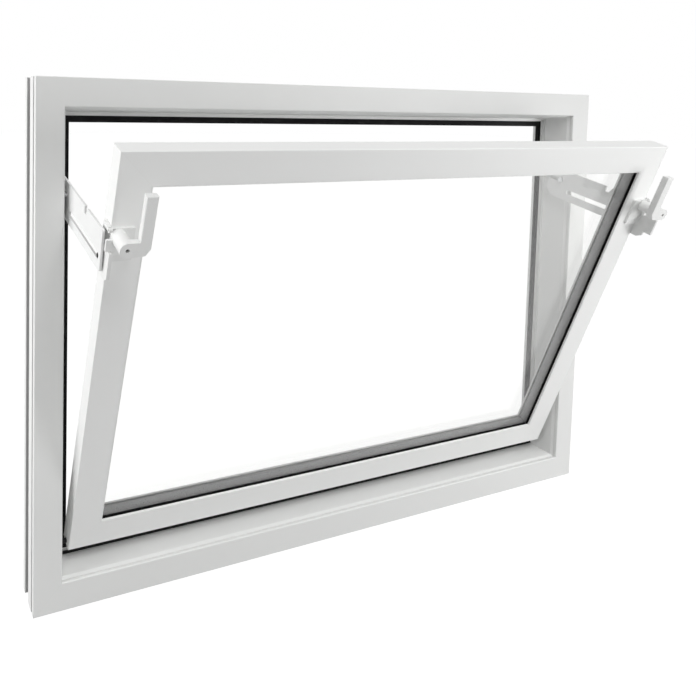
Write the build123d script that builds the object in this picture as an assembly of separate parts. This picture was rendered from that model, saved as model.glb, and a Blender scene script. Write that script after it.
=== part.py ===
from build123d import *
import os
from math import asin, atan2, cos, degrees, hypot, radians, sin

os.makedirs("parts", exist_ok=True)

# A bottom hung tilt window of welded plastic profile, seen open.
# The room is towards -Y and the outdoors towards +Y. While a piece is drawn,
# Y is 0 on the room face of the frame; the finished model is then moved so
# that its origin lies on the fixing land under the sill.

# Outer size of the frame
frame_width = 800.0
frame_height = 560.0
frame_depth = 52.0

# Section of the frame profile, inwards from its outer edge
frame_face = 30.5
frame_edge_radius = 0.8
lip_radius = 1.5
lip_depth = 4.0
lip_groove_width = 0.6
lip_groove_deep = 0.5
bevel_depth = 8.0
reveal_line = 32.5
reveal_back_line = 35.0
rebate_leg = 7.5
leg_line = 45.3
leg_radius = 0.8

# Outer side of the frame, from front to back
fine_groove_start = 6.0
fine_groove_end = 10.5
fine_groove_deep = 1.5
land_end = 25.0
wide_groove_deep = 3.5
rear_land = 8.5
rear_step_width = 2.5
rear_step = 1.2

# Seal on the rebate, with a lip that closes the gap under the sash
seal_outer_line = 37.6
seal_inner_line = 44.8
seal_thickness = 3.5
seal_recess = 0.5
sill_lip_rise = 7.4
sill_lip_thickness = 2.4

# Sash, drawn closed and then tilted into the room
sash_side_gap = 7.45
sash_head_gap = 2.0
sash_sill_gap = 18.5
sash_seal_play = 0.95
sash_flange = 20.8
sash_body_depth = 24.4
sash_step = 9.5
sash_face = 34.4
sash_front_wall = 2.4
glass_rebate = 27.0
sash_edge_radius = 1.0
sash_lip_radius = 0.5
face_groove_place = 1.5
face_groove_width = 0.4
face_groove_deep = 0.4

# Double glazing
pane_thickness = 3.0
pane_gap = 11.0
glazing_gasket_thickness = 2.4
gasket_inner_line = 36.6
gasket_outer_line = 30.0
glass_edge_line = 28.0
spacer_width = 6.0
bead_inner_line = 35.0
bead_radius = 1.0

# Hinge pins at the foot of the sash
tilt_angle = 19.5
hinge_depth = 10.25
hinge_rise = 3.5
hinge_pin_radius = 2.5
hinge_bush_radius = 5.0
hinge_bush_length = 8.0
hinge_pin_end_gap = 0.5
running_clearance = 0.05

# Stay plates in the gap between sash and jamb
stay_thickness = 2.2
stay_gap = 0.5
stay_pin_from_top = 103.2
stay_pin_depth = 6.5
stay_slot_offset = 13.65
stay_pivot_rise = 19.2
stay_top_edge = 14.6
stay_low_edge = 26.4
stay_end_margin = 8.5
stay_rear = 18.0
stay_rear_low = 17.0
stay_heel = 8.0
stay_slot_start = 16.5
stay_slot_width = 6.0
stay_notch_start = 66.0
stay_notch_floor = 4.5
stay_notch_mouth = 8.5
stay_notch_depth = 7.5
stay_hook_width = 4.2
stay_corner_radius = 3.0
pivot_pin_radius = 2.0
pivot_seat = 6.0
pivot_head_radius = 3.6
pivot_head_thickness = 1.0
sash_pin_radius = 2.4
sash_pin_bore = 1.2
sash_shoulder_radius = 4.0
stay_side_play = 0.3

# Handle bracket. Heights are measured upwards from the hub of the lever,
# and depths from the face of the sash towards the room.
hub_edge_distance = 48.95
hub_from_top = 78.8
bracket_plate = 3.0
bracket_inner_edge = 64.8
bracket_low = -26.1
bracket_high = 7.1
bracket_corner_radius = 1.5
cheek_outer_edge = 39.2
lug_low = 4.4
lug_high = 8.8
lug_back = 12.0
lug_front = 2.0
boss_radius = 2.4
boss_height = 6.1
boss_depth = 3.6
boss_hole_radius = 1.1
cheek_high = -12.3
cheek_back = 2.0
tail_low = -42.2
tail_cut = 4.0
tail_cut_depth = 6.0
tail_front = 13.0
guard_front = 22.4
guard_low = -33.0

# Lever with its hub and tongue
hub_radius = 7.2
hub_gap = 0.4
lever_front = 29.8
lever_thickness = 7.0
lever_bar_inner = 21.45
lever_bar_outer = 10.75
lever_bar_top = 50.5
lever_foot_drop = 6.0
lever_foot_bevel = 4.2
lever_edge = 0.5
spigot_radius = 3.5
spigot_end = 22.0
spigot_end_gap = 0.4
lever_screw_radius = 1.8
lever_screw_clearance = 0.1
lever_screw_head = 26.0
tongue_reach = 12.6
tongue_high = -0.5
tongue_low = -11.5
tongue_back = 6.6
tongue_front = 9.6

# Places that follow from the values above
cut_allowance = 1.0
rebate_depth = frame_depth - rebate_leg
seal_front = rebate_depth - seal_thickness
rebate_front = seal_front - seal_recess
rear_land_end = frame_depth - rear_step_width
wide_groove_end = rear_land_end - rear_land
seat_depth = (fine_groove_end + land_end) / 2
half_width = frame_width / 2
sash_width = frame_width - 2 * (reveal_back_line + sash_side_gap)
sash_bottom = reveal_back_line + sash_sill_gap
sash_top = frame_height - reveal_back_line - sash_head_gap
sash_height = sash_top - sash_bottom
half_sash = sash_width / 2
sash_front = seal_front - sash_seal_play - sash_flange
pane_front = sash_front_wall + glazing_gasket_thickness
glass_unit = 2 * pane_thickness + pane_gap
hinge_y = sash_front + hinge_depth
hinge_z = sash_bottom + hinge_rise
hinge_axis = Axis((0, hinge_y, hinge_z), (1, 0, 0))
hinge_face = half_width - reveal_back_line
stay_outer_face = hinge_face - stay_gap
stay_inner_face = stay_outer_face - stay_thickness
hub_x = half_width - hub_edge_distance
hub_z = sash_top - hub_from_top

# The stay hangs plumb when the sash is closed. Its slot line passes through
# the sash pin both when closed and when open, which sets the slope of the stay.
pin_closed_y = sash_front + stay_pin_depth
pin_closed_z = sash_top - stay_pin_from_top
stay_pivot_y = pin_closed_y - stay_slot_offset
stay_pivot_z = pin_closed_z + stay_pivot_rise
pin_rel_y = pin_closed_y - hinge_y
pin_rel_z = pin_closed_z - hinge_z
tilt = radians(tilt_angle)
pin_open_y = hinge_y + pin_rel_y * cos(tilt) - pin_rel_z * sin(tilt)
pin_open_z = hinge_z + pin_rel_y * sin(tilt) + pin_rel_z * cos(tilt)
pin_reach = hypot(pin_open_y - stay_pivot_y, pin_open_z - stay_pivot_z)
pin_slope = degrees(atan2(stay_pivot_z - pin_open_z, stay_pivot_y - pin_open_y))
slot_angle = asin(stay_slot_offset / pin_reach)
stay_slope = pin_slope - degrees(slot_angle)
stay_swing = 90.0 - stay_slope
stay_slot_end = pin_reach * cos(slot_angle)
stay_reach = stay_slot_end + stay_end_margin
stay_axis = Axis((0, stay_pivot_y, stay_pivot_z), (1, 0, 0))


def save(name, solid):
    placed = solid.moved(Location((0, -seat_depth, 0)))
    export_step(placed, f"parts/{name}.step")


def rod(start, end, radius, y, z):
    length = end - start
    return Pos(start + length / 2, y, z) * Rot(0, 90, 0) * Cylinder(radius, length)


def stub(x, z, radius, y_back, y_front):
    length = y_back - y_front
    return Pos(x, (y_back + y_front) / 2, z) * Rot(90, 0, 0) * Cylinder(radius, length)


def block(x0, x1, y0, y1, z0, z1):
    size = (x1 - x0, y1 - y0, z1 - z0)
    return Pos((x0 + x1) / 2, (y0 + y1) / 2, (z0 + z1) / 2) * Box(*size)


def outline(points):
    # A point may have a third number, the radius of its rounded corner.
    face = make_face(Polyline(*[point[:2] for point in points], close=True))
    for point in points:
        if len(point) == 3:
            corner = face.vertices().sort_by_distance((point[0], point[1], 0))[0]
            face = fillet(corner, point[2])
    return face


def depth_plate(points, y_back, thickness):
    return Pos(0, y_back, 0) * extrude(Plane.XZ * outline(points), thickness)


def side_plate(points, x_start, thickness):
    return Pos(x_start, 0, 0) * extrude(Plane.YZ * outline(points), thickness)


def mitred_bar(points, length, reach):
    # The section is given as depth and distance inwards from the outer edge.
    bar = extrude(Plane.YZ * outline(points), length)
    trapezium = [(0, 0), (length, 0), (length - reach, reach), (reach, reach)]
    mitre = extrude(Plane.XZ * outline(trapezium), 4 * frame_depth, both=True)
    return bar & mitre


def four_sides(points, width, height, bottom, depth, reach):
    across = mitred_bar(points, width, reach)
    upright = mitred_bar(points, height, reach)
    top = bottom + height
    return {
        "bottom": Pos(-width / 2, depth, bottom) * across,
        "top": Pos(width / 2, depth, top) * Rot(0, 180, 0) * across,
        "left": Pos(-width / 2, depth, top) * Rot(0, 90, 0) * upright,
        "right": Pos(width / 2, depth, bottom) * Rot(0, -90, 0) * upright,
    }


def sash_sides(points, reach):
    return four_sides(points, sash_width, sash_height, sash_bottom, sash_front, reach)


def tilted(solid):
    return solid.rotate(hinge_axis, tilt_angle)


def frame_section():
    bevel_start = lip_depth + lip_groove_width
    return [
        (0, 0, frame_edge_radius),
        (0, frame_face, lip_radius),
        (lip_depth, frame_face),
        (lip_depth, frame_face - lip_groove_deep),
        (bevel_start, frame_face - lip_groove_deep),
        (bevel_start, frame_face),
        (bevel_depth, reveal_line),
        (rebate_front, reveal_back_line),
        (rebate_front, seal_outer_line),
        (rebate_depth, seal_outer_line),
        (rebate_depth, leg_line, leg_radius),
        (frame_depth, leg_line, leg_radius),
        (frame_depth, rear_step),
        (rear_land_end, rear_step),
        (rear_land_end, 0),
        (wide_groove_end, 0),
        (wide_groove_end, wide_groove_deep),
        (land_end, wide_groove_deep),
        (land_end, 0),
        (fine_groove_end, 0),
        (fine_groove_end, fine_groove_deep),
        (fine_groove_start, fine_groove_deep),
        (fine_groove_start, 0),
    ]


def sash_section():
    groove_middle = sash_face - face_groove_place
    half_groove = face_groove_width / 2
    return [
        (0, 0, sash_edge_radius),
        (0, groove_middle - half_groove),
        (face_groove_deep, groove_middle),
        (0, groove_middle + half_groove),
        (0, sash_face, sash_lip_radius),
        (sash_front_wall, sash_face),
        (sash_front_wall, glass_rebate),
        (sash_body_depth, glass_rebate),
        (sash_body_depth, sash_step, sash_edge_radius),
        (sash_flange, sash_step),
        (sash_flange, 0, sash_edge_radius),
    ]


def strip(near, far, inner, outer):
    return [(near, inner), (near, outer), (far, outer), (far, inner)]


def hinge_bush_seat():
    return rod(hinge_face, hinge_face + hinge_bush_length, hinge_bush_radius, hinge_y, hinge_z)


def stay_pivot_seat():
    return rod(hinge_face, hinge_face + pivot_seat, pivot_pin_radius, stay_pivot_y, stay_pivot_z)


def make_frame():
    sides = four_sides(frame_section(), frame_width, frame_height, 0, 0, leg_line)
    seats = hinge_bush_seat() + stay_pivot_seat()
    sides["right"] = sides["right"] - seats
    sides["left"] = sides["left"] - mirror(seats, about=Plane.YZ)
    for side, bar in sides.items():
        save(f"frame_{side}", bar)


def make_frame_seals():
    section = strip(seal_front, rebate_depth, seal_outer_line, seal_inner_line)
    seals = four_sides(section, frame_width, frame_height, 0, 0, seal_inner_line)
    lip_half = half_width - leg_line
    lip_top = leg_line + sill_lip_rise
    lip_front = rebate_depth - sill_lip_thickness
    lip = block(-lip_half, lip_half, lip_front, rebate_depth, seal_outer_line, lip_top)
    seals["bottom"] = seals["bottom"] + lip
    for side, seal in seals.items():
        save(f"frame_seal_{side}", seal)


def make_sash():
    for side, rail in sash_sides(sash_section(), sash_face).items():
        save(f"sash_{side}", tilted(rail))
    gasket = strip(sash_front_wall, pane_front, gasket_outer_line, gasket_inner_line)
    for side, piece in sash_sides(gasket, gasket_inner_line).items():
        save(f"glazing_gasket_{side}", tilted(piece))
    bead = [
        (pane_front + glass_unit, glass_rebate),
        (pane_front + glass_unit, bead_inner_line),
        (sash_body_depth, bead_inner_line, bead_radius),
        (sash_body_depth, glass_rebate),
    ]
    for side, piece in sash_sides(bead, bead_inner_line).items():
        save(f"glazing_bead_{side}", tilted(piece))


def glass_slab(near, far, inset):
    edge = half_sash - inset
    low = sash_bottom + inset
    high = sash_top - inset
    return block(-edge, edge, sash_front + near, sash_front + far, low, high)


def make_glass():
    inner_back = pane_front + pane_thickness
    outer_front = inner_back + pane_gap
    save("glass_inner", tilted(glass_slab(pane_front, inner_back, glass_edge_line)))
    save("glass_outer", tilted(glass_slab(outer_front, pane_front + glass_unit, glass_edge_line)))
    ring = glass_slab(inner_back, outer_front, glass_edge_line)
    hollow = glass_slab(inner_back - cut_allowance, outer_front + cut_allowance,
                        glass_edge_line + spacer_width)
    save("glass_spacer", tilted(ring - hollow))


def hinge_parts():
    bore = hinge_pin_radius + running_clearance
    bush = hinge_bush_seat()
    bush = bush - rod(hinge_face, hinge_face + hinge_bush_length, bore, hinge_y, hinge_z)
    pin_end = hinge_face + hinge_bush_length - hinge_pin_end_gap
    pin = rod(half_sash, pin_end, hinge_pin_radius, hinge_y, hinge_z)
    return {"hinge_bush": bush, "hinge_pin": tilted(pin)}


def stay_plate():
    # Drawn plumb, as when closed: the top edge faces the room.
    def at(along, across, *radius):
        return (stay_pivot_y - across, stay_pivot_z - along, *radius)

    notch_floor = stay_top_edge - stay_notch_depth
    plate = side_plate([
        at(-stay_rear, stay_top_edge),
        at(stay_notch_start, stay_top_edge),
        at(stay_notch_start, notch_floor),
        at(stay_notch_start + stay_notch_floor, notch_floor),
        at(stay_notch_start + stay_notch_mouth, stay_top_edge),
        at(stay_reach, stay_top_edge, stay_corner_radius),
        at(stay_reach, -stay_low_edge, stay_corner_radius),
        at(-stay_heel, -stay_low_edge),
        at(-stay_rear, -stay_rear_low),
    ], stay_inner_face, stay_thickness)
    slot_length = stay_slot_end - stay_slot_start
    slot_middle = (stay_slot_end + stay_slot_start) / 2
    slot = Plane.YZ * Rot(0, 0, 90) * SlotCenterToCenter(slot_length, stay_slot_width)
    cut = extrude(slot, 4 * stay_thickness, both=True)
    cut = Pos(stay_inner_face, stay_pivot_y + stay_slot_offset, stay_pivot_z - slot_middle) * cut
    near = stay_inner_face - cut_allowance
    far = stay_outer_face + cut_allowance
    half_hook = stay_hook_width / 2
    eye = rod(near, far, half_hook, stay_pivot_y, stay_pivot_z)
    hook = block(near, far, stay_pivot_y - half_hook, stay_pivot_y + half_hook,
                 stay_pivot_z, stay_pivot_z + stay_rear + cut_allowance)
    return (plate - cut - eye - hook).rotate(stay_axis, -stay_swing)


def stay_pins():
    head_face = stay_inner_face - stay_side_play
    pivot = rod(head_face, hinge_face + pivot_seat, pivot_pin_radius, stay_pivot_y, stay_pivot_z)
    pivot = pivot + rod(head_face - pivot_head_thickness, head_face, pivot_head_radius,
                        stay_pivot_y, stay_pivot_z)
    pin = rod(half_sash, stay_outer_face, sash_pin_radius, pin_closed_y, pin_closed_z)
    shoulder = rod(half_sash, head_face, sash_shoulder_radius, pin_closed_y, pin_closed_z)
    bore = rod(half_sash + cut_allowance, stay_outer_face + cut_allowance, sash_pin_bore,
               pin_closed_y, pin_closed_z)
    return {"stay_pivot": pivot, "stay_pin": tilted(pin + shoulder - bore)}


def at_sash(depth, height, *radius):
    return (sash_front - depth, hub_z + height, *radius)


def bracket(guarded):
    outer = half_width - cheek_outer_edge
    inner = half_width - bracket_inner_edge
    thickness = outer - half_sash
    plate = depth_plate([
        (inner, hub_z + bracket_low, bracket_corner_radius),
        (outer, hub_z + bracket_low),
        (outer, hub_z + bracket_high),
        (inner, hub_z + bracket_high, bracket_corner_radius),
    ], sash_front, bracket_plate)
    lug = side_plate([
        at_sash(-lug_back, lug_low),
        at_sash(-lug_back, lug_high),
        at_sash(lug_front, lug_high),
        at_sash(lug_front, lug_low),
    ], half_sash, thickness)
    boss_y, boss_z = at_sash(boss_depth, boss_height)
    lug = lug + rod(half_sash, outer, boss_radius, boss_y, boss_z)
    cheek = side_plate([
        at_sash(-cheek_back, tail_low),
        at_sash(-cheek_back, cheek_high),
        at_sash(tail_front, cheek_high),
        at_sash(tail_front, tail_low + tail_cut),
        at_sash(tail_front - tail_cut_depth, tail_low),
    ], half_sash, thickness)
    if guarded:
        cheek = cheek + side_plate([
            at_sash(bracket_plate, cheek_high),
            at_sash(guard_front, cheek_high),
            at_sash(guard_front, guard_low),
            at_sash(bracket_plate, guard_low),
        ], half_sash, thickness)
    spigot = stub(hub_x, hub_z, spigot_radius, sash_front, sash_front - spigot_end)
    window = block(half_sash, outer + cut_allowance, sash_front - bracket_plate - cut_allowance,
                   sash_front + cut_allowance, hub_z + cheek_high, hub_z + lug_low)
    hole = rod(half_sash - cut_allowance, outer + cut_allowance, boss_hole_radius, boss_y, boss_z)
    return tilted(plate - window + lug + cheek + spigot - hole)


def lever_screw():
    head = stub(hub_x, hub_z, lever_screw_radius, sash_front - spigot_end,
                sash_front - lever_screw_head)
    return tilted(head)


def lever():
    def at(inwards, up):
        return (hub_x - inwards, hub_z + up)

    front = sash_front - lever_front
    back = sash_front - bracket_plate - hub_gap
    foot = depth_plate([
        at(0, hub_radius),
        at(lever_bar_outer, hub_radius),
        at(lever_bar_outer, lever_bar_top),
        at(lever_bar_inner, lever_bar_top),
        at(lever_bar_inner, 0),
        at(lever_bar_inner - lever_foot_bevel, -lever_foot_drop),
        at(0, -hub_radius),
    ], front + lever_thickness, lever_thickness)
    body = foot + stub(hub_x, hub_z, hub_radius, back, front)
    face = body.faces().sort_by(Axis.Y)[0]
    bar_edges = [edge for edge in face.outer_wire().edges()
                 if hub_x - edge.center().X > lever_bar_outer - lever_edge]
    body = chamfer(bar_edges, lever_edge)
    tongue = depth_plate([
        at(0, tongue_high),
        at(-tongue_reach, tongue_high),
        at(-tongue_reach, tongue_low),
        at(0, tongue_low),
    ], sash_front - tongue_back, tongue_front - tongue_back)
    bore_end = sash_front - spigot_end - spigot_end_gap
    bore = stub(hub_x, hub_z, spigot_radius + running_clearance, sash_front, bore_end)
    screw_way = lever_screw_radius + lever_screw_clearance
    hole = stub(hub_x, hub_z, screw_way, sash_front, front - cut_allowance)
    return tilted(body + tongue - bore - hole)


def make_hardware():
    right_hand = {"stay": stay_plate(), "lever": lever(), "lever_screw": lever_screw()}
    right_hand.update(hinge_parts())
    right_hand.update(stay_pins())
    for name, solid in right_hand.items():
        save(f"{name}_right", solid)
        save(f"{name}_left", mirror(solid, about=Plane.YZ))
    save("handle_bracket_right", bracket(True))
    save("handle_bracket_left", mirror(bracket(False), about=Plane.YZ))


make_frame()
make_frame_seals()
make_sash()
make_glass()
make_hardware()

print("stay slope when open", round(stay_slope, 2), "swing", round(stay_swing, 2))
print("hinge axis", 0, hinge_y - seat_depth, hinge_z)
print("stay axis", 0, stay_pivot_y - seat_depth, stay_pivot_z)
hub_rel_y = sash_front - lever_front - hinge_y
hub_rel_z = hub_z - hinge_z
hub_open_y = hinge_y + hub_rel_y * cos(tilt) - hub_rel_z * sin(tilt) - seat_depth
hub_open_z = hinge_z + hub_rel_y * sin(tilt) + hub_rel_z * cos(tilt)
print("lever axis", hub_x, round(hub_open_y, 3), round(hub_open_z, 3))
print("lever axis direction", 0, round(-cos(tilt), 6), round(-sin(tilt), 6))
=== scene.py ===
from math import radians

import bpy
from mathutils import Matrix, Vector


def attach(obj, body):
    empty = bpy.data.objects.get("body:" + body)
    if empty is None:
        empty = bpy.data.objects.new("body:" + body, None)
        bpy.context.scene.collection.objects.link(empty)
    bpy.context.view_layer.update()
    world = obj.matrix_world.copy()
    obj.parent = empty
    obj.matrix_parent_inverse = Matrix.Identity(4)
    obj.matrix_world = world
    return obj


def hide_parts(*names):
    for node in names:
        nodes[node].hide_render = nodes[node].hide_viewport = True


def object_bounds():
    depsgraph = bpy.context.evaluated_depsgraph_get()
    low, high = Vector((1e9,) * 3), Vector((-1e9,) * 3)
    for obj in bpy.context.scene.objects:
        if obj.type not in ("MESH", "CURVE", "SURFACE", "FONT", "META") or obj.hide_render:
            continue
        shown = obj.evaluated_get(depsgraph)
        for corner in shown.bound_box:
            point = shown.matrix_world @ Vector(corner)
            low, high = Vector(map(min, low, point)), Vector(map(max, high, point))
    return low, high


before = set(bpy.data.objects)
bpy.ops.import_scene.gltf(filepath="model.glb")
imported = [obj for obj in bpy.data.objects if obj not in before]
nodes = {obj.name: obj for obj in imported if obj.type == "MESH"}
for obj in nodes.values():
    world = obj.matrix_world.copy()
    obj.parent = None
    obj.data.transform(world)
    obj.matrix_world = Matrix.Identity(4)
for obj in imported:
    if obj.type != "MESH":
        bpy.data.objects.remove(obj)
cadLow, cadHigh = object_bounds()
print("frame loaded with", len(nodes), "nodes")


# A socket that Python's operators work on
class Wire:
    def __init__(self, graph, socket):
        self.graph = graph
        self.socket = socket

    def __add__(self, other):
        return self.graph.math("ADD", self, other)

    def __radd__(self, other):
        return self.graph.math("ADD", other, self)

    def __sub__(self, other):
        return self.graph.math("SUBTRACT", self, other)

    def __rsub__(self, other):
        return self.graph.math("SUBTRACT", other, self)

    def __mul__(self, other):
        return self.graph.math("MULTIPLY", self, other)

    def __rmul__(self, other):
        return self.graph.math("MULTIPLY", other, self)

    def __lt__(self, other):
        return self.graph.math("LESS_THAN", self, other)

    def __gt__(self, other):
        return self.graph.math("GREATER_THAN", self, other)

    def __abs__(self):
        return self.graph.math("ABSOLUTE", self)


# A node tree, for a material, the world or a modifier
class Graph:
    def __init__(self, tree, owner=None):
        self.tree = tree
        self.owner = owner
        tree.nodes.clear()

    # Adds one node, its settings first. Each value or wire goes into the input of that name or number
    def add(self, kind, values=None, settings=None, out=0):
        node = self.tree.nodes.new(kind)
        for key, value in (settings or {}).items():
            setattr(node, key, value)
        for key, value in (values or {}).items():
            if isinstance(value, Wire):
                self.tree.links.new(value.socket, node.inputs[key])
            else:
                node.inputs[key].default_value = value
        return Wire(self, node.outputs[out]) if node.outputs else None

    def math(self, operation, *terms):
        return self.add("ShaderNodeMath", dict(enumerate(terms)), {"operation": operation})

    # The three parts of a point or a size
    def axes(self, vector):
        first = self.add("ShaderNodeSeparateXYZ", {0: vector})
        return [Wire(self, output) for output in first.socket.node.outputs]

    # Object coordinates, measured in a unit length from a centre, and turned about X. The unit
    # is one length, or three where it differs from axis to axis
    def place(self, unit=1, turn=0, centre=(0, 0, 0)):
        point = self.add("ShaderNodeTexCoord", out="Object")
        scale = unit if isinstance(unit, tuple) else (unit, unit, unit)
        values = {"Vector": point, "Location": centre, "Scale": scale}
        values["Rotation"] = (radians(turn), 0, 0)
        return self.add("ShaderNodeMapping", values, {"vector_type": "TEXTURE"})

    def noise(self, point, detail=2):
        return self.add("ShaderNodeTexNoise", {"Vector": point, "Scale": 1, "Detail": detail})

    # The mix node has its colours in sockets 6 and 7, and gives the mixed one in socket 2
    def mix(self, factor, *colors):
        first, second = [(*color, 1) if isinstance(color, tuple) else color for color in colors]
        values = {"Factor": factor, 6: first, 7: second}
        return self.add("ShaderNodeMix", values, {"data_type": "RGBA"}, 2)

    def bump(self, height, distance, under=None):
        values = {"Height": height, "Distance": distance}
        if under:
            values["Normal"] = under
        return self.add("ShaderNodeBump", values)

    def surface(self, values):
        shader = self.add("ShaderNodeBsdfPrincipled", values)
        self.add("ShaderNodeOutputMaterial", {"Surface": shader})
        return self.owner


def newGraph(name):
    material = bpy.data.materials.new(name)
    material.use_nodes = True
    return Graph(material.node_tree, material)


# A noise has its middle at a half, so it moves the value up and down by half of the spread
def vary(middle, spread, noise):
    return middle + spread * (noise - 0.5)


def shade(color, tone):
    return tuple(tone * part for part in color)


# The frame and the sash are each four mitred bars. All lengths are in metres. The foot is the
# middle of the lower front edge while closed, and the bars tilt about the hinge, in degrees. The
# grooves that run round the frame's outer side, between two distances inwards from its edge and
# behind the given front, are painted darker than the faces: painted shade, for the shadow in them
outerFrame = {
    "width": round(cadHigh.x - cadLow.x, 5),
    "height": round(cadHigh.z - cadLow.z, 5),
    "foot": (0, -0.01775, 0),
    "hinge": (0, 0, 0),
    "tilt": 0,
    "color": (0.80, 0.805, 0.795),
    "grooveShade": {"from": 0.0007, "to": 0.006, "front": -0.0150, "color": (0.4, 0.4, 0.4)},
}
sash = {
    "width": 0.7151,
    "height": 0.4695,
    "foot": (0, 0.0015, 0.0535),
    "hinge": (0, 0.01175, 0.057),
    "tilt": 19.5,
    # Paler than the frame's colour though it is the same plastic: painted light, for the brighter light
    # on the sash's downward-tilted faces
    "color": (0.95, 0.955, 0.945),
}

# Extruded window plastic: fine lines run along the bar, with a weld line in each corner
profile = {
    "ior": 1.5,
    "roughness": 0.36,
    "cloudSize": 0.12,
    "cloudTone": 0.965,
    "cloudSpread": 0.08,
    "grainSize": 0.0007,
    "grainDepth": 0.000006,
    "lineUnit": 0.0011,
    "lineLength": 0.5,
    "lineDepth": 0.00001,
    "lineSpread": 0.10,
    "weldColor": (0.5, 0.5, 0.5),
    "weldWidth": 0.00025,
    "weldDepth": 0.00003,
    "weldShade": 0.08,
}


# How far a point lies inwards from the bars' sides, and from their foot or head, and its depth
def placeInBars(graph, bars):
    x, depth, z = graph.axes(graph.place(1, bars["tilt"], bars["hinge"]))
    middle = bars["foot"][2] - bars["hinge"][2] + bars["height"] / 2
    return bars["width"] / 2 - abs(x), bars["height"] / 2 - abs(z - middle), depth


def profilePlastic(name, bars, upright):
    graph = newGraph(name)
    across, along = profile["lineUnit"], profile["lineLength"]
    unit = (across, across, along) if upright else (along, across, across)
    lines = graph.noise(graph.place(unit, bars["tilt"]))
    cloudy = graph.noise(graph.place(profile["cloudSize"], bars["tilt"]), detail=3)
    grain = graph.noise(graph.place(profile["grainSize"]))
    fromSide, fromEnd, depth = placeInBars(graph, bars)
    weld = abs(fromSide - fromEnd) < profile["weldWidth"]
    color = graph.mix(cloudy, bars["color"], shade(bars["color"], profile["cloudTone"]))
    # Painted shade: the groove floors are darkened for the shadow that falls in them
    if "grooveShade" in bars:
        grooveShade = bars["grooveShade"]
        inwards = graph.math("MINIMUM", fromSide, fromEnd)
        inside = (inwards > grooveShade["from"]) * (inwards < grooveShade["to"]) * (depth > grooveShade["front"])
        color = graph.mix(inside, color, grooveShade["color"])
    color = graph.mix(weld * profile["weldShade"], color, profile["weldColor"])
    normal = graph.bump(lines, profile["lineDepth"])
    normal = graph.bump(grain, profile["grainDepth"], normal)
    normal = graph.bump(1 - weld, profile["weldDepth"], normal)
    rough = vary(profile["roughness"], profile["lineSpread"], lines)
    rough = vary(rough, profile["cloudSpread"], cloudy)
    values = {"Base Color": color, "Roughness": rough, "Normal": normal, "IOR": profile["ior"]}
    return graph.surface(values)


profileLevel = profilePlastic("profileLevel", outerFrame, upright=False)
profileUpright = profilePlastic("profileUpright", outerFrame, upright=True)
sashLevel = profilePlastic("sashLevel", sash, upright=False)
sashUpright = profilePlastic("sashUpright", sash, upright=True)

# Injection moulded plastic, clouded where it flowed, with a fine grain
moulding = {
    "ior": 1.5,
    "flowSize": (0.03, 0.03, 0.05),
    "flowTone": 0.94,
    "flowSpread": 0.1,
    "grainDepth": 0.00002,
    "grainSpread": 0.12,
}


def mouldedPlastic(name, color, roughness, grainSize):
    graph = newGraph(name)
    grain = graph.noise(graph.place(grainSize), detail=3)
    flow = graph.noise(graph.place(moulding["flowSize"]))
    tone = graph.mix(flow, color, shade(color, moulding["flowTone"]))
    normal = graph.bump(grain, moulding["grainDepth"])
    rough = vary(roughness, moulding["grainSpread"], grain)
    rough = vary(rough, moulding["flowSpread"], flow)
    values = {"Base Color": tone, "Roughness": rough, "Normal": normal, "IOR": moulding["ior"]}
    return graph.surface(values)


mouldedLooks = {
    "leverPlastic": {"color": (0.90, 0.905, 0.895), "roughness": 0.3, "grainSize": 0.0006},
    "bracketPlastic": {"color": (0.88, 0.885, 0.875), "roughness": 0.38, "grainSize": 0.0005},
    "stayPlastic": {"color": (0.88, 0.885, 0.88), "roughness": 0.4, "grainSize": 0.0008},
    "beadPlastic": {"color": (0.80, 0.805, 0.795), "roughness": 0.4, "grainSize": 0.0009},
}
moulded = {name: mouldedPlastic(name, **look) for name, look in mouldedLooks.items()}

# Black rubber with a little dust
rubberLook = {
    "cleanColor": (0.002, 0.002, 0.0022),
    "dustyColor": (0.005, 0.005, 0.0055),
    "roughness": 0.62,
    "specular": 0.16,
    "dustSize": 0.02,
    "dustSpread": 0.2,
    "skinSize": 0.0004,
    "skinDepth": 0.00003,
}


def sealRubber():
    graph = newGraph("sealRubber")
    skin = graph.noise(graph.place(rubberLook["skinSize"]), detail=3)
    dust = graph.noise(graph.place(rubberLook["dustSize"]), detail=4)
    values = {"Base Color": graph.mix(dust, rubberLook["cleanColor"], rubberLook["dustyColor"])}
    values["Roughness"] = vary(rubberLook["roughness"], rubberLook["dustSpread"], dust)
    values["Normal"] = graph.bump(skin, rubberLook["skinDepth"])
    values["Specular IOR Level"] = rubberLook["specular"]
    return graph.surface(values)


# Clear glass with a faint haze. Its index is lower than real glass has, to keep reflections faint
glassLook = {
    "clearColor": (0.999, 0.999, 0.996),
    "hazyColor": (0.993, 0.995, 0.99),
    "ior": 1.28,
    "hazeSize": 0.05,
    "hazeRoughness": 0.006,
    "waveSize": 0.2,
    "waveDepth": 0.00001,
}


def paneGlass():
    graph = newGraph("paneGlass")
    wave = graph.noise(graph.place(glassLook["waveSize"]))
    haze = graph.noise(graph.place(glassLook["hazeSize"]), detail=3)
    values = {"Base Color": graph.mix(haze, glassLook["clearColor"], glassLook["hazyColor"])}
    values["Roughness"] = glassLook["hazeRoughness"] * haze
    values["Normal"] = graph.bump(wave, glassLook["waveDepth"])
    values.update({"Transmission Weight": 1, "IOR": glassLook["ior"]})
    return graph.surface(values)


# Spacer bar between the panes, rolled aluminium with tiny square breathing holes, scattered at
# about the given spacing. A hole's half width is a share of it. The holes are painted near black:
# painted shade, for the shadow inside them
spacerLook = {
    "color": (0.27, 0.27, 0.27),
    "holeShadeColor": (0.06, 0.06, 0.06),
    "metallic": 0.35,
    "roughness": 0.42,
    "holeSpacing": 0.003,
    "holeSize": 0.12,
    "brushUnit": (0.05, 0.0004, 0.0004),
    "brushSpread": 0.15,
    "depth": 0.00004,
}


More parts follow.
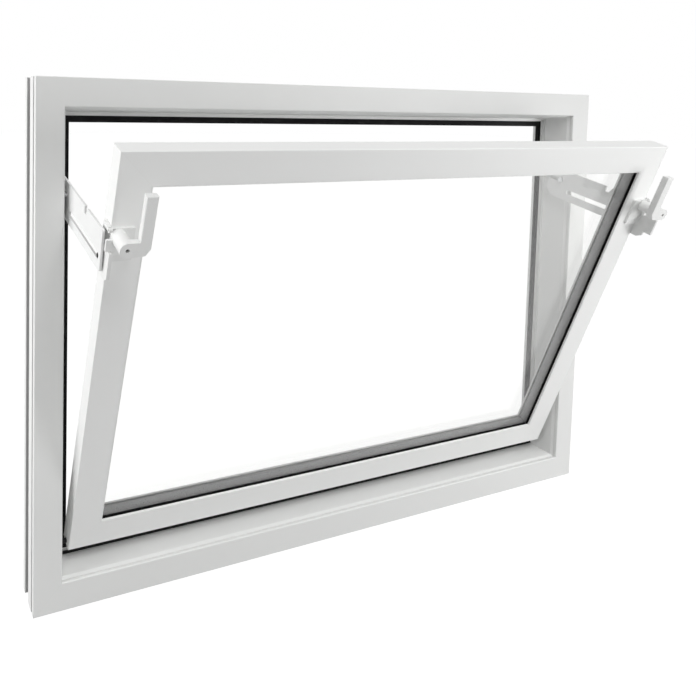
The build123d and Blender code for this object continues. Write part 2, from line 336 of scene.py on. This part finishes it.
def spacerMetal():
    graph = newGraph("spacerMetal")
    values = {"Vector": graph.place(spacerLook["holeSpacing"]), "Scale": 1}
    fromMiddle = graph.add("ShaderNodeTexVoronoi", values, {"distance": "CHEBYCHEV"})
    holes = fromMiddle < spacerLook["holeSize"]
    brush = graph.noise(graph.place(spacerLook["brushUnit"]))
    # Painted shade in the holes
    values = {"Base Color": graph.mix(holes, spacerLook["color"], spacerLook["holeShadeColor"])}
    values["Metallic"] = spacerLook["metallic"]
    values["Roughness"] = vary(spacerLook["roughness"], spacerLook["brushSpread"], brush)
    values["Normal"] = graph.bump(brush - holes, spacerLook["depth"])
    return graph.surface(values)


# Plated steel of the screws, pins, bushes and pivots, patchy, with a fine grain
steelLook = {
    "patchSize": 0.004,
    "patchTone": 0.75,
    "patchSpread": 0.2,
    "grainSize": 0.0006,
    "grainDepth": 0.00002,
}


def platedSteel(name, color, roughness):
    graph = newGraph(name)
    grain = graph.noise(graph.place(steelLook["grainSize"]), detail=3)
    patch = graph.noise(graph.place(steelLook["patchSize"]))
    tone = graph.mix(patch, color, shade(color, steelLook["patchTone"]))
    values = {"Base Color": tone, "Metallic": 1}
    values["Roughness"] = vary(roughness, steelLook["patchSpread"], patch)
    values["Normal"] = graph.bump(grain, steelLook["grainDepth"])
    return graph.surface(values)


rubber = sealRubber()
glass = paneGlass()
spacer = spacerMetal()
# Near-black steel, partly painted shade: it shows the lever screws as dark holes and sinks the hinge
# pins and bushes into the shade beside the sash
shadeBlackSteel = platedSteel("shadeBlackSteel", color=(0.025, 0.025, 0.026), roughness=0.45)
zincSteel = platedSteel("zincSteel", color=(0.62, 0.63, 0.64), roughness=0.36)
print("materials made")


def materialFor(name):
    level = name.endswith(("top", "bottom"))
    if "seal" in name or "gasket" in name:
        return rubber
    if name.startswith("glazing_bead"):
        return moulded["beadPlastic"]
    if name == "glass_spacer":
        return spacer
    if name.startswith("glass"):
        return glass
    if name.startswith("frame"):
        return profileLevel if level else profileUpright
    if name.startswith("sash"):
        return sashLevel if level else sashUpright
    # These get the near-black steel, partly as painted shade
    if name.startswith(("lever_screw", "stay_pin_", "hinge_pin", "hinge_bush")):
        return shadeBlackSteel
    if name.startswith("stay_pivot"):
        return zincSteel
    if name.startswith("lever"):
        return moulded["leverPlastic"]
    return moulded["stayPlastic"] if name.startswith("stay") else moulded["bracketPlastic"]


for name, piece in nodes.items():
    piece.data.materials.clear()
    piece.data.materials.append(materialFor(name))
print("frame nodes have their materials")


# Rubber swept round a rectangle, with a rounded section of four corners. The route has points
# at its corners alone, so each section lies across a mitre, where the strip is wider by the root
# of two. The sweep scales the whole section by that, and its depth is shrunk first in return
mitreStretch = 2 ** 0.5
filletSteps = 4
stripInputs = {
    "Width": "NodeSocketFloat",
    "Height": "NodeSocketFloat",
    "Back outside": "NodeSocketVector",
    "Back inside": "NodeSocketVector",
    "Front inside": "NodeSocketVector",
    "Front outside": "NodeSocketVector",
    "Rounding": "NodeSocketFloat",
    "Turn": "NodeSocketVector",
    "Place": "NodeSocketVector",
    "Rubber": "NodeSocketMaterial",
}
lipInputs = {
    "Lip length": "NodeSocketFloat",
    "Lip size": "NodeSocketVector",
    "Lip place": "NodeSocketVector",
}
sectionCorners = ("Back outside", "Back inside", "Front inside", "Front outside")


def fillet(graph, curve, radius):
    values = {"Curve": curve, "Radius": radius, "Count": filletSteps, "Limit Radius": True}
    return graph.add("GeometryNodeFilletCurve", values, {"mode": "POLY"})


def sillLip(graph, given):
    half = given["Lip length"] * 0.5
    start = graph.add("ShaderNodeCombineXYZ", {"X": 0 - half})
    end = graph.add("ShaderNodeCombineXYZ", {"X": half})
    line = graph.add("GeometryNodeCurvePrimitiveLine", {"Start": start, "End": end})
    thick, deep, _ = graph.axes(given["Lip size"])
    oblong = graph.add("GeometryNodeCurvePrimitiveQuadrilateral", {"Width": thick, "Height": deep})
    section = fillet(graph, oblong, given["Rounding"])
    values = {"Curve": line, "Profile Curve": section, "Fill Caps": True}
    bar = graph.add("GeometryNodeCurveToMesh", values)
    return graph.add("GeometryNodeTransform", {"Geometry": bar, "Translation": given["Lip place"]})


def makeStripTree(treeName, inputs):
    tree = bpy.data.node_groups.new(treeName, "GeometryNodeTree")
    for name, kind in inputs.items():
        tree.interface.new_socket(name, in_out="INPUT", socket_type=kind)
    tree.interface.new_socket("Geometry", in_out="OUTPUT", socket_type="NodeSocketGeometry")
    graph = Graph(tree)
    entry = tree.nodes.new("NodeGroupInput")
    given = {name: Wire(graph, entry.outputs[name]) for name in inputs}
    values = {"Width": given["Width"], "Height": given["Height"]}
    route = graph.add("GeometryNodeCurvePrimitiveQuadrilateral", values)
    values = {f"Point {number}": given[name] for number, name in enumerate(sectionCorners, 1)}
    outline = graph.add("GeometryNodeCurvePrimitiveQuadrilateral", values, {"mode": "POINTS"})
    section = fillet(graph, outline, given["Rounding"])
    shrunk = graph.add("GeometryNodeTransform", {"Geometry": section, "Scale": (1, 1 / mitreStretch, 1)})
    values = {"Curve": route, "Profile Curve": shrunk, "Scale": mitreStretch}
    ring = graph.add("GeometryNodeCurveToMesh", values)
    values = {"Geometry": ring, "Rotation": given["Turn"], "Translation": given["Place"]}
    parts = [graph.add("GeometryNodeTransform", values)]
    if "Lip length" in given:
        parts.append(sillLip(graph, given))
    whole = graph.add("GeometryNodeJoinGeometry")
    for part in parts:
        tree.links.new(part.socket, whole.socket.node.inputs[0])
    real = graph.add("GeometryNodeRealizeInstances", {0: whole})
    painted = graph.add("GeometryNodeSetMaterial", {"Geometry": real, "Material": given["Rubber"]})
    graph.add("NodeGroupOutput", {0: painted})
    return tree


# Lines are distances inwards from the outer edge of the bars, and depths run outdoors from their
# front face, in the order of the section's corners. The route's line and depth are those that
# the section is swept along. The seal is let into the frame's rebate leg, and the gasket into the
# edge of the inner pane, each with its front just proud. The lip stands on the sill, in front
# of the seal
frameSeal = {
    "routeLine": 0.042,
    "routeDepth": 0.0444,
    "lines": (0.0386, 0.0456, 0.0465, 0.0386),
    "depths": (0.0478, 0.0478, 0.0444, 0.0444),
    "rounding": 0.0007,
    "lip": {
        "Lip length": 0.7294,
        "Lip size": (0.0008, 0.0039, 0),
        "Lip place": (0, 0.0213, 0.0371),
    },
}
glazingGasket = {
    "routeLine": 0.0344,
    "routeDepth": 0.00475,
    "lines": (0.031, 0.0346, 0.0348, 0.031),
    "depths": (0.007, 0.0068, 0.00475, 0.00475),
    "rounding": 0.0003,
    "lip": {},
}


# The ring is swept lying flat, so a quarter turn stands it upright before it tilts
def stripValues(strip, bars):
    hinge = Vector(bars["hinge"])
    closed = Vector(bars["foot"]) + Vector((0, strip["routeDepth"], bars["height"] / 2))
    place = hinge + Matrix.Rotation(radians(bars["tilt"]), 3, "X") @ (closed - hinge)
    values = {
        "Width": bars["width"] - 2 * strip["routeLine"],
        "Height": bars["height"] - 2 * strip["routeLine"],
        "Rounding": strip["rounding"],
        "Turn": (radians(90 + bars["tilt"]), 0, 0),
        "Place": tuple(place),
        "Rubber": rubber,
    }
    for corner, line, depth in zip(sectionCorners, strip["lines"], strip["depths"]):
        values[corner] = (strip["routeLine"] - line, depth - strip["routeDepth"], 0)
    return {**values, **strip["lip"]}


def sweptRubber(name, strip, bars, nodeStart):
    replaced = [node for node in nodes if node.startswith(nodeStart)]
    values = stripValues(strip, bars)
    inputs = {**stripInputs, **lipInputs} if strip["lip"] else stripInputs
    tree = makeStripTree(f"{name}Strip", inputs)
    piece = bpy.data.objects.new(name, bpy.data.meshes.new(name))
    bpy.context.scene.collection.objects.link(piece)
    modifier = piece.modifiers.new("strip", "NODES")
    modifier.node_group = tree
    for item in tree.interface.items_tree:
        if item.in_out == "INPUT":
            modifier[item.identifier] = values[item.name]
    depsgraph = bpy.context.evaluated_depsgraph_get()
    mesh = bpy.data.meshes.new_from_object(piece.evaluated_get(depsgraph))
    piece.modifiers.clear()
    piece.data = mesh
    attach(piece, "window")
    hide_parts(*replaced)
    print(name, "has", len(mesh.polygons), "faces and stands for", len(replaced), "nodes")


sweptRubber("frameSeal", frameSeal, outerFrame, "frame_seal")
sweptRubber("glazingGasket", glazingGasket, sash, "glazing_gasket")
print("seal and gasket swept")

# Pale floor and white surround. Seen by the camera, in gloss or through glass, the floor glows by
# the share in floorWhite, and the rest of it still takes the shadow. That share of whiteLevel
# comes to about 1, which is white
room = {
    "floorSize": 30,
    "floorGap": 0.0002,
    "floorColor": (0.42, 0.42, 0.42, 1),
    "floorWhite": 0.7,
    "white": (1, 1, 1, 1),
    "whiteLevel": 1.38,
    "skyLight": 0.3,
}


def seenDirectly(graph):
    kinds = ("Is Camera Ray", "Is Glossy Ray", "Is Transmission Ray")
    direct, glossy, through = (graph.add("ShaderNodeLightPath", out=kind) for kind in kinds)
    return graph.math("MINIMUM", direct + glossy + through, 1)


def makeFloor():
    half = room["floorSize"] / 2
    level = cadLow.z - room["floorGap"]
    mesh = bpy.data.meshes.new("floor")
    corners = ((-half, -half), (half, -half), (half, half), (-half, half))
    mesh.from_pydata([(x, y, level) for x, y in corners], [], [(0, 1, 2, 3)])
    floor = bpy.data.objects.new("floor", mesh)
    bpy.context.scene.collection.objects.link(floor)
    graph = newGraph("paleFloor")
    dull = graph.add("ShaderNodeBsdfDiffuse", {"Color": room["floorColor"]})
    glow = graph.add("ShaderNodeEmission", {"Color": room["white"], "Strength": room["whiteLevel"]})
    share = seenDirectly(graph) * room["floorWhite"]
    both = graph.add("ShaderNodeMixShader", {0: share, 1: dull, 2: glow})
    graph.add("ShaderNodeOutputMaterial", {"Surface": both})
    mesh.materials.append(graph.owner)


def makeSurround():
    world = bpy.data.worlds.new("softSurround")
    bpy.context.scene.world = world
    world.use_nodes = True
    graph = Graph(world.node_tree)
    dim = graph.add("ShaderNodeBackground", {"Color": room["white"], "Strength": room["skyLight"]})
    clear = graph.add("ShaderNodeBackground", {"Color": room["white"], "Strength": 1})
    both = graph.add("ShaderNodeMixShader", {0: seenDirectly(graph), 1: dim, 2: clear})
    graph.add("ShaderNodeOutputWorld", {"Surface": both})


lampTarget = Vector((0, 0, 0.28))
lamps = [
    {"name": "overhead", "at": (-0.2, -2.4, 4.4), "size": 2.4, "watts": 99},
    {"name": "left", "at": (-1.15, 0.05, 0.5), "size": 0.7, "watts": 6},
    {"name": "frontRight", "at": (0.9, -1.05, 0.22), "size": 0.6, "watts": 8},
]


def makeLamps():
    for entry in lamps:
        data = bpy.data.lights.new(entry["name"], "AREA")
        data.size, data.energy = entry["size"], entry["watts"]
        lamp = bpy.data.objects.new(entry["name"], data)
        bpy.context.scene.collection.objects.link(lamp)
        lamp.location = entry["at"]
        lamp.rotation_euler = (lampTarget - lamp.location).to_track_quat("-Z", "Y").to_euler()


# The focal length is in pixels of the picture, and the angles are in radians
camera = {
    "at": (-0.54645, -0.69107, 0.52615),
    "yaw": -0.394173,
    "pitch": -0.0609624,
    "roll": -0.0155443,
    "focalLength": 684.19,
    "pictureWidth": 696,
    "sensorWidth": 36,
    "shift": (0.2710, -0.2791),
    "clip": (0.02, 100),
}


def makeCamera():
    data = bpy.data.cameras.new("viewpoint")
    data.sensor_width = camera["sensorWidth"]
    data.lens = camera["sensorWidth"] * camera["focalLength"] / camera["pictureWidth"]
    data.shift_x, data.shift_y = camera["shift"]
    data.clip_start, data.clip_end = camera["clip"]
    eye = bpy.data.objects.new("viewpoint", data)
    bpy.context.scene.collection.objects.link(eye)
    turn = Matrix.Rotation(camera["yaw"], 4, "Z") @ Matrix.Rotation(camera["pitch"], 4, "X")
    turn = turn @ Matrix.Rotation(camera["roll"], 4, "Y") @ Matrix.Rotation(radians(90), 4, "X")
    eye.matrix_world = Matrix.Translation(camera["at"]) @ turn
    bpy.context.scene.camera = eye


makeFloor()
makeSurround()
makeLamps()
makeCamera()
bpy.context.scene.view_settings.view_transform = "Standard"
print("room, lamps and camera set")
